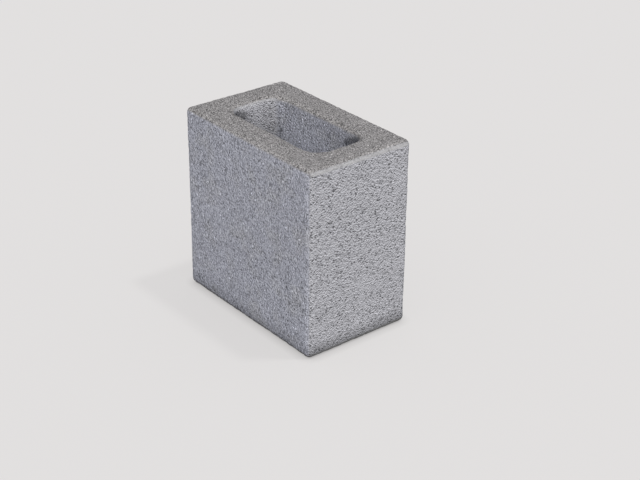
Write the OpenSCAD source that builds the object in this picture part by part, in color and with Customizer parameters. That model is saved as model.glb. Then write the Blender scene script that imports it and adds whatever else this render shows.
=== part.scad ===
// Concrete half block with one upright core, for half lengths and wall ends.
// Lengths are in millimetres. X runs along the wall, Y across it and Z up.
// The origin is in the middle of the face that the block stands on.

/* [Block] */
// Length along the wall
block_length = 194; // [120:1:400]
// Width across the wall
block_width = 120; // [100:1:300]
// Height
block_height = 193; // [60:1:300]
// Radius of all outer edges and corners
edge_radius = 5; // [1:0.5:10]

/* [Core] */
// Thickness of each end wall at the top, where it is thickest
end_wall = 30; // [20:1:45]
// Thickness of each side wall at the top, where it is thickest
side_wall = 30; // [20:1:45]
// Amount by which each wall is thinner at the bottom, so that the mould can be drawn out
core_taper = 2; // [0:0.5:6]
// Radius of the core's upright corners at the top
core_corner_radius = 16; // [3:0.5:25]
// Radius of the rounded rim round both mouths of the core
rim_radius = 5; // [1:0.5:10]

/* [Hidden] */
$fn = 64;
concrete_grey = [0.58, 0.58, 0.60];

// Axes of the block's rounded upright edges
edge_x = block_length / 2 - edge_radius;
edge_y = block_width / 2 - edge_radius;

// Half the core's length and half its width at the top
core_x = block_length / 2 - end_wall;
core_y = block_width / 2 - side_wall;

// Half of the flat strip that each wall of the core keeps between its corners
least_flat = 2;

// Radius that the core's corners get, which is smaller only where the core is too narrow
corner_radius = min(core_corner_radius, core_x - least_flat, core_y - least_flat);

// Axes of the core's rounded upright corners
corner_x = core_x - corner_radius;
corner_y = core_y - corner_radius;

// Distance from a corner's axis to the core's wall, at the foot of the upper rim and of the lower one
wall_at_top = corner_radius;
wall_at_bottom = corner_radius + core_taper;

// How far the core's cutter runs past the block
overrun = 2;

// A section drawn out to the given distance on both sides of the middle, along X or along Y
module along_x(reach) {
    rotate([90, 0, 90])
        linear_extrude(2 * reach, center = true)
            children();
}

module along_y(reach) {
    rotate([90, 0, 0])
        linear_extrude(2 * reach, center = true)
            children();
}

// A rectangle with round corners, standing on the middle of its lower edge
module rounded_rectangle(width, height, radius) {
    translate([-width / 2, radius])
        square([width, height - 2 * radius]);
    translate([radius - width / 2, 0])
        square([width - 2 * radius, height]);
    for (x = [radius - width / 2, width / 2 - radius], y = [radius, height - radius])
        translate([x, y])
            circle(radius);
}

// An upright rounded edge of the block, with the corners at its two ends
module upright_edge() {
    translate([0, 0, edge_radius])
        cylinder(r = edge_radius, h = block_height - 2 * edge_radius);
    for (z = [edge_radius, block_height - edge_radius])
        translate([0, 0, z])
            sphere(edge_radius);
}

// The block without its core
module solid_block() {
    along_x(edge_x)
        rounded_rectangle(block_width, block_height, edge_radius);
    along_y(edge_y)
        rounded_rectangle(block_length, block_height, edge_radius);
    for (x = [-edge_x, edge_x], y = [-edge_y, edge_y])
        translate([x, y, 0])
            upright_edge();
}

// The part of a mouth that lies outside the wall, where the rim curves away from it
module rim_flare() {
    difference() {
        square([rim_radius, rim_radius + overrun]);
        translate([rim_radius, 0])
            circle(rim_radius);
    }
}

// Half of the core's section: from the given distance inside a corner's axis out to the wall and the two rims
module half_section(inside) {
    top_foot = [wall_at_top, block_height - rim_radius];
    bottom_foot = [wall_at_bottom, rim_radius];
    polygon([
        [-inside, -overrun],
        [wall_at_bottom, -overrun],
        bottom_foot,
        top_foot,
        [wall_at_top, block_height + overrun],
        [-inside, block_height + overrun]
    ]);
    translate(top_foot)
        rim_flare();
    translate(bottom_foot)
        mirror([0, 1])
            rim_flare();
}

// The core's whole section, between walls whose corner axes lie at the given distance from the middle
module core_section(axis) {
    for (side = [0, 1])
        mirror([side, 0])
            translate([axis, 0])
                half_section(axis);
}

// The space that the core leaves in the block
module core() {
    along_x(corner_x)
        core_section(corner_y);
    along_y(corner_y)
        core_section(corner_x);
    for (x_side = [0, 1], y_side = [0, 1])
        mirror([x_side, 0, 0])
            mirror([0, y_side, 0])
                translate([corner_x, corner_y, 0])
                    rotate_extrude(angle = 90)
                        half_section(0);
}

// The whole block, as it leaves the mould
module half_block() {
    color(concrete_grey)
        difference() {
            solid_block();
            core();
        }
}

half_block();
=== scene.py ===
import math

import bmesh
import bpy
from mathutils import Matrix, Vector, noise


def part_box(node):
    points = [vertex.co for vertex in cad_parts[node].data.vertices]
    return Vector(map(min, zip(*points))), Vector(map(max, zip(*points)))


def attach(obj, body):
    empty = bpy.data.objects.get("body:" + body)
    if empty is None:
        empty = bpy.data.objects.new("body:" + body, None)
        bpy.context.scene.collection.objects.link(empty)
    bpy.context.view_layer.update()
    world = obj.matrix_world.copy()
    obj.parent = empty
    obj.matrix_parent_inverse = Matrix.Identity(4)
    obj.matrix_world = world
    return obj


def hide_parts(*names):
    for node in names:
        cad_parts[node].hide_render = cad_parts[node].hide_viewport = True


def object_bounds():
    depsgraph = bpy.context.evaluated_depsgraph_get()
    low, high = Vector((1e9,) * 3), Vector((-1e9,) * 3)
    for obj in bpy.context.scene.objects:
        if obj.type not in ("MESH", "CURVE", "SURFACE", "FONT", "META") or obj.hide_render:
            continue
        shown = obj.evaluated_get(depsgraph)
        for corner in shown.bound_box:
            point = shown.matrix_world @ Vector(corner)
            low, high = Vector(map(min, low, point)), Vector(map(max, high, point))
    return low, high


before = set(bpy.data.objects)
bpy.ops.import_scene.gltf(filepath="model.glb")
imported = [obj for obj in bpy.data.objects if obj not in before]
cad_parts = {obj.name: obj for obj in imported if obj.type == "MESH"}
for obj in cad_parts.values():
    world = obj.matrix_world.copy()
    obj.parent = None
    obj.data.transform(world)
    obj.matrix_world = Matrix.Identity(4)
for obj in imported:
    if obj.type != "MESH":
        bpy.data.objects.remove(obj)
cadLow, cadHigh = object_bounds()
print("frame loaded, box", [round(v, 4) for v in cadHigh - cadLow])

scene = bpy.context.scene
scene.view_settings.view_transform = "Standard"


def clamp(value):
    return max(0.0, min(1.0, value))


def ramp(value, start, end):
    # smooth step from 0 at start to 1 at end
    t = clamp((value - start) / (end - start))
    return t * t * (3 - 2 * t)


def addObject(name, data):
    made = bpy.data.objects.new(name, data)
    scene.collection.objects.link(made)
    return made


def addNode(tree, kind, inputs=None, **settings):
    # a shader node with its settings and inputs, which are plain values or other nodes' outputs
    made = tree.nodes.new("ShaderNode" + kind)
    for name, value in settings.items():
        setattr(made, name, value)
    for socket, value in (inputs or {}).items():
        if isinstance(value, bpy.types.NodeSocket):
            tree.links.new(value, made.inputs[socket])
        else:
            made.inputs[socket].default_value = value
    return made


def addMath(tree, operation, a, b, **settings):
    return addNode(tree, "Math", {0: a, 1: b}, operation=operation, **settings).outputs[0]


def spread(tree, value, fromRange, toRange):
    # the value carried from one range to another, and held at its ends
    inputs = {"Value": value, "From Min": fromRange[0], "From Max": fromRange[1],
              "To Min": toRange[0], "To Max": toRange[1]}
    return addNode(tree, "MapRange", inputs).outputs["Result"]


def seenByEye(tree):
    # 1 for what the camera sees directly, in a reflection or through glass
    path = addNode(tree, "LightPath").outputs
    direct = addMath(tree, "ADD", path["Is Camera Ray"], path["Is Glossy Ray"])
    return addMath(tree, "ADD", direct, path["Is Transmission Ray"], use_clamp=True)


# the camera, from the outline of the block in the photo
cameraSettings = {
    "azimuth": 51.98,  # degrees round the block
    "elevation": 26.56,
    "distance": 1.412,  # from the middle of the block
    "aside": -0.00119,  # the middle of the block, from the line of sight
    "above": 0.00149,
    "focalPixels": 1452.0,
    "imageSize": (640, 480),
    "axisPixel": (296.5, 215.5),  # where the line of sight meets the image
    "sensorWidth": 36.0,
    "reach": 50.0,  # how far it sees
}


def makeCamera(s):
    a = math.radians(s["azimuth"])
    e = math.radians(s["elevation"])
    back = Vector((math.sin(a) * math.cos(e), -math.cos(a) * math.cos(e), math.sin(e)))
    right = Vector((math.cos(a), math.sin(a), 0))
    up = back.cross(right)
    middle = (cadLow + cadHigh) / 2
    width, height = s["imageSize"]
    data = bpy.data.cameras.new("camera")
    data.sensor_width = s["sensorWidth"]
    data.lens = s["focalPixels"] * s["sensorWidth"] / width
    data.shift_x = (width / 2 - s["axisPixel"][0]) / width
    data.shift_y = (s["axisPixel"][1] - height / 2) / width
    data.clip_end = s["reach"]
    made = addObject("camera", data)
    made.location = middle + s["distance"] * back - s["aside"] * right - s["above"] * up
    made.rotation_euler = back.to_track_quat("Z", "Y").to_euler()
    scene.camera = made


makeCamera(cameraSettings)
print("camera placed")

# the light: an even sky, a soft key on the block from near the camera, and a high lamp
# that casts the block's shadow on the floor
lightSettings = {
    "sky": (0.765, 0.775, 0.815),
    "lamps": [
        {"name": "key", "on": "block", "towards": (0.768, -0.436, 0.469), "level": 0.85, "angle": 50,
         "colour": (1.0, 0.985, 0.95)},
        {"name": "high", "on": "floor", "towards": (0.19, 0.245, 0.95), "level": 0.36, "angle": 5,
         "colour": (1.0, 1.0, 1.0)},
    ],
}

# the floor: pale, with a faint shadow and a narrow dark line where the block stands on it
floorSettings = {
    "size": 12.0,
    "colour": (0.30, 0.295, 0.29),  # what the block gets back from it
    "seenColour": (0.14, 0.137, 0.134),  # what the camera sees of its light and shadow
    "glow": (0.605, 0.592, 0.587),  # and the even tone under them
    "backdrop": (0.761, 0.746, 0.738),
    "contact": {"reach": 0.010, "open": (0.0, 1.0), "shade": 0.66},
    "inside": {"reach": 0.15, "open": (0.0, 0.2), "shade": 0.25},  # where walls stand all round
    "skySamples": 16,  # rays that look for the open sky
}

# which things each lamp lights
litGroups = {name: bpy.data.collections.new(name + "Light") for name in ("block", "floor")}


def makeLight(s, backdropColour):
    world = bpy.data.worlds.new("studio")
    scene.world = world
    world.use_nodes = True
    tree = world.node_tree
    tree.nodes.clear()
    sky = addNode(tree, "Background", {"Color": (*s["sky"], 1)})
    backdrop = addNode(tree, "Background", {"Color": (*backdropColour, 1)})
    both = addNode(tree, "MixShader", {0: seenByEye(tree), 1: sky.outputs[0], 2: backdrop.outputs[0]})
    addNode(tree, "OutputWorld", {"Surface": both.outputs[0]})
    for lamp in s["lamps"]:
        data = bpy.data.lights.new(lamp["name"], "SUN")
        data.energy = lamp["level"] * math.pi  # a white face square to it shows this level
        data.angle = math.radians(lamp["angle"])
        data.color = lamp["colour"]
        made = addObject(lamp["name"], data)
        made.rotation_euler = Vector(lamp["towards"]).to_track_quat("Z", "Y").to_euler()
        made.light_linking.receiver_collection = litGroups[lamp["on"]]


def makeFloor(s):
    bm = bmesh.new()
    bmesh.ops.create_grid(bm, x_segments=1, y_segments=1, size=s["size"] / 2)
    mesh = bpy.data.meshes.new("floor")
    bm.to_mesh(mesh)
    bm.free()
    floor = addObject("floor", mesh)
    litGroups["floor"].objects.link(floor)
    material = bpy.data.materials.new("paleFloor")
    material.use_nodes = True
    tree = material.node_tree
    shader = tree.nodes["Principled BSDF"]
    shader.inputs["Roughness"].default_value = 1.0
    shader.inputs["Specular IOR Level"].default_value = 0.0
    shader.inputs["Emission Color"].default_value = (*s["glow"], 1)
    seen = seenByEye(tree)
    tones = {"Factor": seen, "A": (*s["colour"], 1), "B": (*s["seenColour"], 1)}
    base = addNode(tree, "Mix", tones, data_type="RGBA").outputs["Result"]
    tree.links.new(base, shader.inputs["Base Color"])
    glow = seen
    for shadow in (s["contact"], s["inside"]):
        sky = addNode(tree, "AmbientOcclusion", {"Distance": shadow["reach"]}, samples=s["skySamples"])
        left = spread(tree, sky.outputs["AO"], shadow["open"], (shadow["shade"], 1.0))
        glow = addMath(tree, "MULTIPLY", glow, left)
    tree.links.new(glow, shader.inputs["Emission Strength"])
    mesh.materials.append(material)


makeLight(lightSettings, floorSettings["backdrop"])
makeFloor(floorSettings)
print("light and floor made")

# the block: its sizes in metres, as in the part's source
blockSettings = {
    "node": "half_block",
    "edgeRadius": 0.005,
    "edgeBevel": 0.0049,  # just under the radius, so that the corners don't close to points
    "endWall": 0.030,
    "sideWall": 0.030,
    "coreTaper": 0.002,
    "coreCorner": 0.016,
    "rimRadius": 0.005,
    "arcSteps": 8,
    "skinStep": 0.00154,  # spacing of the finished skin's vertices
}


def roundedOutline(bm, halfX, halfY, radius, height, s):
    # a flat face with round corners, of which only the edge is kept
    place = Matrix.Translation((0, 0, height)) @ Matrix.Diagonal((halfX, halfY, 1, 1))
    corners = bmesh.ops.create_grid(bm, x_segments=1, y_segments=1, size=1, matrix=place)["verts"]
    face = corners[0].link_faces[0]
    old = set(bm.edges) - set(face.edges)
    bmesh.ops.bevel(bm, geom=corners, offset=radius, offset_type="OFFSET", segments=s["arcSteps"],
                    profile=0.5, affect="VERTICES", material=-1)
    bmesh.ops.delete(bm, geom=list(bm.faces), context="FACES_ONLY")
    return [e for e in bm.edges if e not in old]


def castBlock(s):
    low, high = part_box(s["node"])
    size = high - low
    halfX, halfY = size.x / 2, size.y / 2
    coreX, coreY = halfX - s["endWall"], halfY - s["sideWall"]
    taper = s["coreTaper"]
    bm = bmesh.new()
    loops = [
        roundedOutline(bm, halfX, halfY, s["edgeRadius"], 0, s),
        roundedOutline(bm, halfX, halfY, s["edgeRadius"], size.z, s),
        roundedOutline(bm, coreX, coreY, s["coreCorner"], size.z, s),
        roundedOutline(bm, coreX + taper, coreY + taper, s["coreCorner"] + taper, 0, s),
    ]
    for this, following in zip(loops, loops[1:] + loops[:1]):
        bmesh.ops.bridge_loops(bm, edges=this + following)
    for rim, radius in ((loops[0] + loops[1], s["edgeBevel"]), (loops[2] + loops[3], s["rimRadius"])):
        bmesh.ops.bevel(bm, geom=rim, offset=radius, offset_type="OFFSET", segments=s["arcSteps"],
                        profile=0.5, affect="EDGES", material=-1, clamp_overlap=False)
    bmesh.ops.recalc_face_normals(bm, faces=bm.faces)
    mesh = bpy.data.meshes.new("concrete_block")
    bm.to_mesh(mesh)
    bm.free()
    return addObject("concrete_block", mesh)


def evenSkin(block, s):
    # the same surface again, in even small faces that can carry the relief
    remesh = block.modifiers.new("evenSkin", "REMESH")
    remesh.mode = "VOXEL"
    remesh.voxel_size = s["skinStep"]
    remesh.use_smooth_shade = True
    evaluated = block.evaluated_get(bpy.context.evaluated_depsgraph_get())
    skin = bpy.data.meshes.new_from_object(evaluated)
    block.modifiers.remove(remesh)
    block.data = skin
    skin.name = "concrete_block"


# the relief, in metres: depth is how far it goes in from the block's true faces
reliefSettings = {
    "waves": {"size": 0.045, "level": 0.5, "swing": 0.7, "depth": 0.0003},
    "lumps": {"level": 0.5, "swing": 0.7, "fall": 1.0, "finer": 2.0, "layers": 2},  # on every face
    "ends": {"size": 0.0026, "stretch": 2.0, "depth": 0.0003},
    "sides": {"size": 0.0030, "stretch": 1.0, "depth": 0.0007},
    "beds": {"size": 0.0030, "stretch": 1.0, "depth": 0.0008},
    "pits": {"spacing": 0.0095, "radius": (0.0012, 0.0028), "depth": 0.0010, "share": 0.4,
             "scatter": 37.0},  # so that each pit is picked by itself
    "chips": {"size": 0.011, "depth": 0.0016, "above": 0.25},
    # painted shade in each upright corner of the core, by its side of X and of Y: how dark it
    # is, how far along the walls and how far below the mouth it starts
    "paintedNookShades": {"slope": (0.2, 0.5), "fade": 0.012, "least": 0.001,
              "corners": {(1, 1): (1.0, 0.037, 0.0), (-1, -1): (1.0, 0.030, 0.002),
                          (1, -1): (0.3, 0.030, 0.0), (-1, 1): (0.25, 0.024, 0.0)},
              "patches": {"size": 0.004, "level": 0.9, "swing": 0.3}},
    # painted light and shade on the core's walls: from where to where the long walls turn paler below a
    # mouth, the level at the mouth, where 1 is the level far down, and the level of the end walls
    "paintedCoreShading": {"reach": (0.006, 0.046), "mouth": -0.25, "ends": 0.05},
    "coreEnds": 0.35,  # how much of the core's stronger grain its end walls get
    # from where to where a face turns into each kind, by the parts of its normal
    "turns": {"ends": (0.55, 0.85), "facing": (-0.2, 0.2), "wear": (0.02, 0.25), "upper": (0.1, 0.4),
              "walls": (0.8, 0.97), "longToEnd": (0.1, 0.5)},
    # the same at the edges of the beds, and where the ends' upper edges turn smoother and get a painted
    # highlight
    "edges": {"core": {"side": (0.05, 0.3), "end": (0.4, 0.7), "smoothPaintedHighlight": (0.1, 0.3), "share": 0.75},
              "outer": {"side": (0.18, 0.58), "end": (0.30, 0.82), "smoothPaintedHighlight": (0.07, 0.16), "share": 1.0}},
}


def wavy(place, s):
    return s["level"] + s["swing"] * noise.noise(place / s["size"])


def lumps(place, s, shape):
    # from 0 on the high grains to 1 in the hollows
    spot = Vector((place.x / s["stretch"], place.y / s["stretch"], place.z)) / s["size"]
    rise = noise.fractal(spot, shape["fall"], shape["finer"], shape["layers"],
                         noise_basis="PERLIN_ORIGINAL")
    return clamp(shape["level"] - shape["swing"] * rise) ** 2


def pitAt(place, s):
    # from 0 on the face to 1 in the middle of a pit
    distances, middles = noise.voronoi(place / s["spacing"])
    pick = 0.5 + 0.5 * noise.cell(middles[0] * s["scatter"])  # from 0 to 1
    if pick >= s["share"]:
        return 0.0
    low, high = s["radius"]
    radius = low + (high - low) * (pick / s["share"])
    return clamp(1 - (distances[0] * s["spacing"] / radius) ** 2)


def addRelief(block, s, sizes):
    low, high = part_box(sizes["node"])
    coreX = high.x - sizes["endWall"]
    coreY = high.y - sizes["sideWall"]
    rim = sizes["rimRadius"]

    def paintedNookShadeAt(place, fromMouth):
        # painted shade: from 0 on the walls to 1 in an upright corner of the core, below a line that
        # slopes into it
        n = s["paintedNookShades"]
        strength, reach, start = n["corners"][(1 if place.x > 0 else -1, 1 if place.y > 0 else -1)]
        fromCorner = max(coreX - abs(place.x), coreY - abs(place.y), n["least"])
        below = ramp((fromMouth - start) / fromCorner, *n["slope"])
        patchy = wavy(place, n["patches"])
        return strength * patchy * below * (1 - ramp(fromCorner, reach - n["fade"], reach))

    mesh = block.data
    turns = s["turns"]
    mouth = s["paintedCoreShading"]["mouth"]
    names = ("ends", "beds", "core", "paintedCoreShading", "paintedNookShade", "smoothPaintedHighlight", "arris", "hollow", "pits")
    masks = {name: [] for name in names}
    moved = []
    for vertex in mesh.vertices:
        place = vertex.co.copy()
        normal = vertex.normal
        along, across, upward = (abs(c) for c in normal)
        inCore = abs(place.x) < coreX + rim and abs(place.y) < coreY + rim
        edge = s["edges"]["core" if inCore else "outer"]
        ends = ramp(along, *turns["ends"])
        # the bed's finish runs over the edges and into the core, but less so over the edges of the ends
        facing = ramp(along - across, *turns["facing"])
        sideEdge = ramp(upward, *edge["side"])
        endEdge = ramp(upward, *edge["end"])
        beds = sideEdge + (endEdge - sideEdge) * facing
        ends *= 1 - beds
        shares = {"ends": ends, "sides": 1 - ends - beds, "beds": beds}
        # the ends' upper edges are smoother, with a painted highlight
        smoothPaintedHighlight = facing * (1 - beds) * (edge["share"] * ramp(upward, *edge["smoothPaintedHighlight"]))
        # convex edges wear, the outer upright ones are a little darker, and the core's corners get
        # painted shade
        wear = ramp(1 - max(along, across, upward), *turns["wear"])
        upper = ramp(upward, *turns["upper"])
        core = paintedCoreShading = paintedNookShade = arris = 0.0
        if inCore:
            wear *= upper
            fromMouth = min(high.z - place.z, place.z - low.z)
            paintedNookShade = paintedNookShadeAt(place, fromMouth)
            # painted light far down the core's long walls, and painted shade just inside the mouths
            paler = mouth + (1 - mouth) * ramp(fromMouth, *s["paintedCoreShading"]["reach"])
            longWall = shares["sides"] * (1 - ramp(along, *turns["longToEnd"]))
            paintedCoreShading = longWall * paler + s["paintedCoreShading"]["ends"] * ends
            walls = ramp(across, *turns["walls"]) + s["coreEnds"] * ramp(along, *turns["walls"])
            core = (1 - beds) * walls
        else:
            arris = wear * (1 - upper)
        hollow = 0.0
        depth = s["waves"]["depth"] * clamp(wavy(place, s["waves"]))
        for name, share in shares.items():
            if share > 0:
                sunk = share * lumps(place, s[name], s["lumps"])
                hollow += sunk
                depth += sunk * s[name]["depth"]
        pit = pitAt(place, s["pits"])
        depth += pit * s["pits"]["depth"]
        chip = noise.noise(place / s["chips"]["size"]) - s["chips"]["above"]
        depth += s["chips"]["depth"] * wear * clamp(chip)
        moved.append(place - normal * depth)
        for name, value in zip(names, (ends, beds, core, paintedCoreShading, paintedNookShade, smoothPaintedHighlight, arris, hollow, pit)):
            masks[name].append(value)
    mesh.vertices.foreach_set("co", [c for place in moved for c in place])
    for name, values in masks.items():
        mesh.attributes.new(name, "FLOAT", "POINT").data.foreach_set("value", values)
    mesh.update()


# the finish, with colours as they look under plain light and sizes in metres; each grain's step from a
# pale side to a dark one is painted light and shade, and base is the painted shade down at the floor
concreteSettings = {
    "sides": {"colour": (0.308, 0.314, 0.356), "grain": 0.0014, "stretch": 1.0, "detail": 1.0,
              "paintedLightStep": (0.0005, 0.0, 0.0002), "lean": 0.3, "noise": (0.17, 0.53),
              "shade": (0.48, 1.52), "base": 0.55},
    "ends": {"colour": (0.361, 0.361, 0.385), "grain": 0.0013, "stretch": 0.85, "detail": 1.0,
             "paintedLightStep": (0.0, 0.0, 0.0004), "lean": 1.0, "noise": (-0.2, 0.2),
             "shade": (0.38, 1.48), "base": 0.34},
    "beds": {"colour": (0.239, 0.230, 0.227), "grain": 0.0011, "stretch": 1.0, "detail": 2.0,
             "noise": (0.35, 0.65), "shade": (0.12, 1.88)},
    "fineness": 0.6,  # how strong the finer layers of all this noise are
    "blotch": {"size": 0.03, "detail": 3.0, "noise": (0.2, 0.8), "shade": (0.93, 1.07)},
    "stain": {"size": 0.022, "detail": 2.0, "noise": (0.48, 0.70), "tint": (1.0, 0.99, 0.95)},
    # painted light on the high grains and painted shade in the hollows
    "hollow": (1.06, 0.88),  # on the high grains and in the hollows
    "pitShade": 0.55,
    # how dark the painted shade in the core's upright corners is
    "paintedNookShadeLevel": 0.42,
    "coreGrain": (0.8, 1.2),  # how much stronger the grain is on the core's walls
    # painted shade just inside the core's mouths and painted light far down
    "paintedCoreShading": (0.84, 1.48),  # just inside the core's mouths and far down
    # the ends' upper edges: a painted highlight in this pale colour, where the grain is also smoother
    "smoothPaintedHighlight": {"colour": (0.346, 0.343, 0.343), "share": 0.78},
    "arrisShade": 0.94,
    "pore": {"spacing": 0.0034, "stretch": 1.0, "share": 0.5, "reach": (0.16, 0.34), "shade": 0.38},
    "speck": {"spacing": 0.0048, "stretch": 1.0, "share": 0.35, "reach": (0.12, 0.25), "shade": 1.75},
    # dark dashes on the ends: small sunk marks whose darkness is painted shade
    "dash": {"spacing": 0.0016, "stretch": 1.9, "share": 0.8, "reach": (0.13, 0.41), "shade": 0.10,
             "sunk": 1.0},
    # painted shade: the faces darken towards the floor, with a darker painted line at the foot
    "paintedBaseShadeHeight": 0.018,  # how far up the faces darken towards the floor
    "foot": {"height": 0.006, "shade": 0.48},  # a dark line where it meets the floor
    "bumpDistance": 0.0007,
    "roughness": 0.95,
    "specular": 0.2,
}


def makeConcrete(s, mouth):
    material = bpy.data.materials.new("concrete")
    material.use_nodes = True
    tree = material.node_tree
    shader = tree.nodes["Principled BSDF"]
    place = addNode(tree, "TexCoord").outputs["Object"]

    def mask(name):
        return addNode(tree, "Attribute", attribute_name=name).outputs["Fac"]

    def mixColours(share, a, b, blend="MIX"):
        inputs = {"Factor": share, "A": a, "B": b}
        return addNode(tree, "Mix", inputs, data_type="RGBA", blend_type=blend).outputs["Result"]

    def mixValues(share, a, b):
        return addNode(tree, "Mix", {"Factor": share, "A": a, "B": b}).outputs["Result"]

    def noiseAt(where, size, detail):
        inputs = {"Vector": where, "Scale": 1 / size, "Detail": detail, "Roughness": s["fineness"]}
        return addNode(tree, "TexNoise", inputs).outputs["Fac"]

    def shaded(colour, shade):
        grey = addNode(tree, "CombineColor", {0: shade, 1: shade, 2: shade}).outputs[0]
        return mixColours(1.0, colour, grey, "MULTIPLY")

    def drawnOut(stretch, shift=(0, 0, 0)):
        # the place in the block, for a pattern that is drawn out sideways
        inputs = {"Vector": place, "Location": shift, "Scale": (1 / stretch, 1 / stretch, 1)}
        return addNode(tree, "Mapping", inputs).outputs[0]

    def grainOf(p):
        # fine grain in the face's colour, its tone from 0 to 1 and its height
        grain = noiseAt(drawnOut(p["stretch"]), p["grain"], p["detail"])
        tone = grain
        if "paintedLightStep" in p:
            # each grain gets painted light on the one side and painted shade on the other
            step = Vector(p["paintedLightStep"])
            before, after = (noiseAt(drawnOut(p["stretch"], shift), p["grain"], p["detail"])
                             for shift in (-step, step))
            tone = addMath(tree, "SUBTRACT", before, addMath(tree, "MULTIPLY", after, p["lean"]))
        tone = spread(tree, tone, p["noise"], (0.0, 1.0))
        return shaded((*p["colour"], 1), spread(tree, tone, (0.0, 1.0), p["shade"])), tone, grain

    def spots(p):
        # scattered spots: 0 between them and 1 in the middle of each
        inputs = {"Vector": drawnOut(p["stretch"]), "Scale": 1 / p["spacing"]}
        cells = addNode(tree, "TexVoronoi", inputs).outputs
        pick = addNode(tree, "SeparateColor", {0: cells["Color"]}).outputs[0]
        chosen = addMath(tree, "LESS_THAN", pick, p["share"])
        return addMath(tree, "MULTIPLY", chosen, spread(tree, cells["Distance"], p["reach"], (1.0, 0.0)))

    def shadeIn(amount, shade):
        return spread(tree, amount, (0.0, 1.0), (1.0, shade))

    colour, tone, grain = grainOf(s["sides"])
    stain = noiseAt(place, s["stain"]["size"], s["stain"]["detail"])
    stain = spread(tree, stain, s["stain"]["noise"], (0.0, 1.0))
    colour = mixColours(stain, colour, (*s["stain"]["tint"], 1), "MULTIPLY")
    for name in ("ends", "beds"):
        faceColour, faceTone, faceGrain = grainOf(s[name])
        share = mask(name)
        colour = mixColours(share, colour, faceColour)
        tone = mixValues(share, tone, faceTone)
        grain = mixValues(share, grain, faceGrain)

    # a painted highlight on the ends' upper edges, where the grain and its bump are also smoother
    smoothPaintedHighlight = addMath(tree, "MULTIPLY", mask("smoothPaintedHighlight"), s["smoothPaintedHighlight"]["share"])
    rough = spread(tree, smoothPaintedHighlight, (0.0, 1.0), (1.0, 0.0))
    colour = mixColours(smoothPaintedHighlight, colour, (*s["smoothPaintedHighlight"]["colour"], 1))
    # painted shade in the ends' small sunk dashes
    dashes = addMath(tree, "MULTIPLY", addMath(tree, "MULTIPLY", spots(s["dash"]), mask("ends")), rough)
    offEnds = spread(tree, mask("ends"), (0.0, 1.0), (1.0, 0.0))
    pores, specks = (addMath(tree, "MULTIPLY", spots(s[name]), offEnds) for name in ("pore", "speck"))
    height = addNode(tree, "SeparateXYZ", {0: place}).outputs["Z"]
    # painted shade towards the floor, deeper on the ends
    paintedBaseShade = mixValues(mask("ends"), s["sides"]["base"], s["ends"]["base"])
    blotch = noiseAt(place, s["blotch"]["size"], s["blotch"]["detail"])
    shades = [
        spread(tree, blotch, s["blotch"]["noise"], s["blotch"]["shade"]),
        # painted light on the high grains and painted shade in the hollows
        spread(tree, mask("hollow"), (0.0, 1.0), s["hollow"]),
        spread(tree, height, (0.0, s["paintedBaseShadeHeight"]), (paintedBaseShade, 1.0)),
        spread(tree, height, (0.0, s["foot"]["height"]), (s["foot"]["shade"], 1.0)),
        shadeIn(mask("pits"), s["pitShade"]),
        # painted shade in the core's upright corners
        shadeIn(mask("paintedNookShade"), s["paintedNookShadeLevel"]),
        # painted light and shade on the core's walls
        spread(tree, mask("paintedCoreShading"), (mouth, 1.0), s["paintedCoreShading"]),
        shadeIn(mask("arris"), s["arrisShade"]),
        shadeIn(pores, s["pore"]["shade"]),
        mixValues(mask("core"), 1.0, spread(tree, tone, (0.0, 1.0), s["coreGrain"])),
        shadeIn(specks, s["speck"]["shade"]),
        shadeIn(dashes, s["dash"]["shade"]),
    ]
    shade = shades[0]
    for other in shades[1:]:
        shade = addMath(tree, "MULTIPLY", shade, other)
    tree.links.new(shaded(colour, shade), shader.inputs["Base Color"])
    shader.inputs["Roughness"].default_value = s["roughness"]
    shader.inputs["Specular IOR Level"].default_value = s["specular"]
    fineHeight = addMath(tree, "SUBTRACT", grain, addMath(tree, "MULTIPLY", dashes, s["dash"]["sunk"]))
    relief = {"Strength": rough, "Distance": s["bumpDistance"], "Height": fineHeight}
    bump = addNode(tree, "Bump", relief)
    tree.links.new(bump.outputs["Normal"], shader.inputs["Normal"])
    return material


block = castBlock(blockSettings)
print("block cast:", len(block.data.polygons), "faces")
evenSkin(block, blockSettings)
print("skin made:", len(block.data.polygons), "faces")
addRelief(block, reliefSettings, blockSettings)
print("relief added")
block.data.materials.append(makeConcrete(concreteSettings, reliefSettings["paintedCoreShading"]["mouth"]))
litGroups["block"].objects.link(block)
print("finish made")
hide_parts(blockSettings["node"])
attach(block, "root")
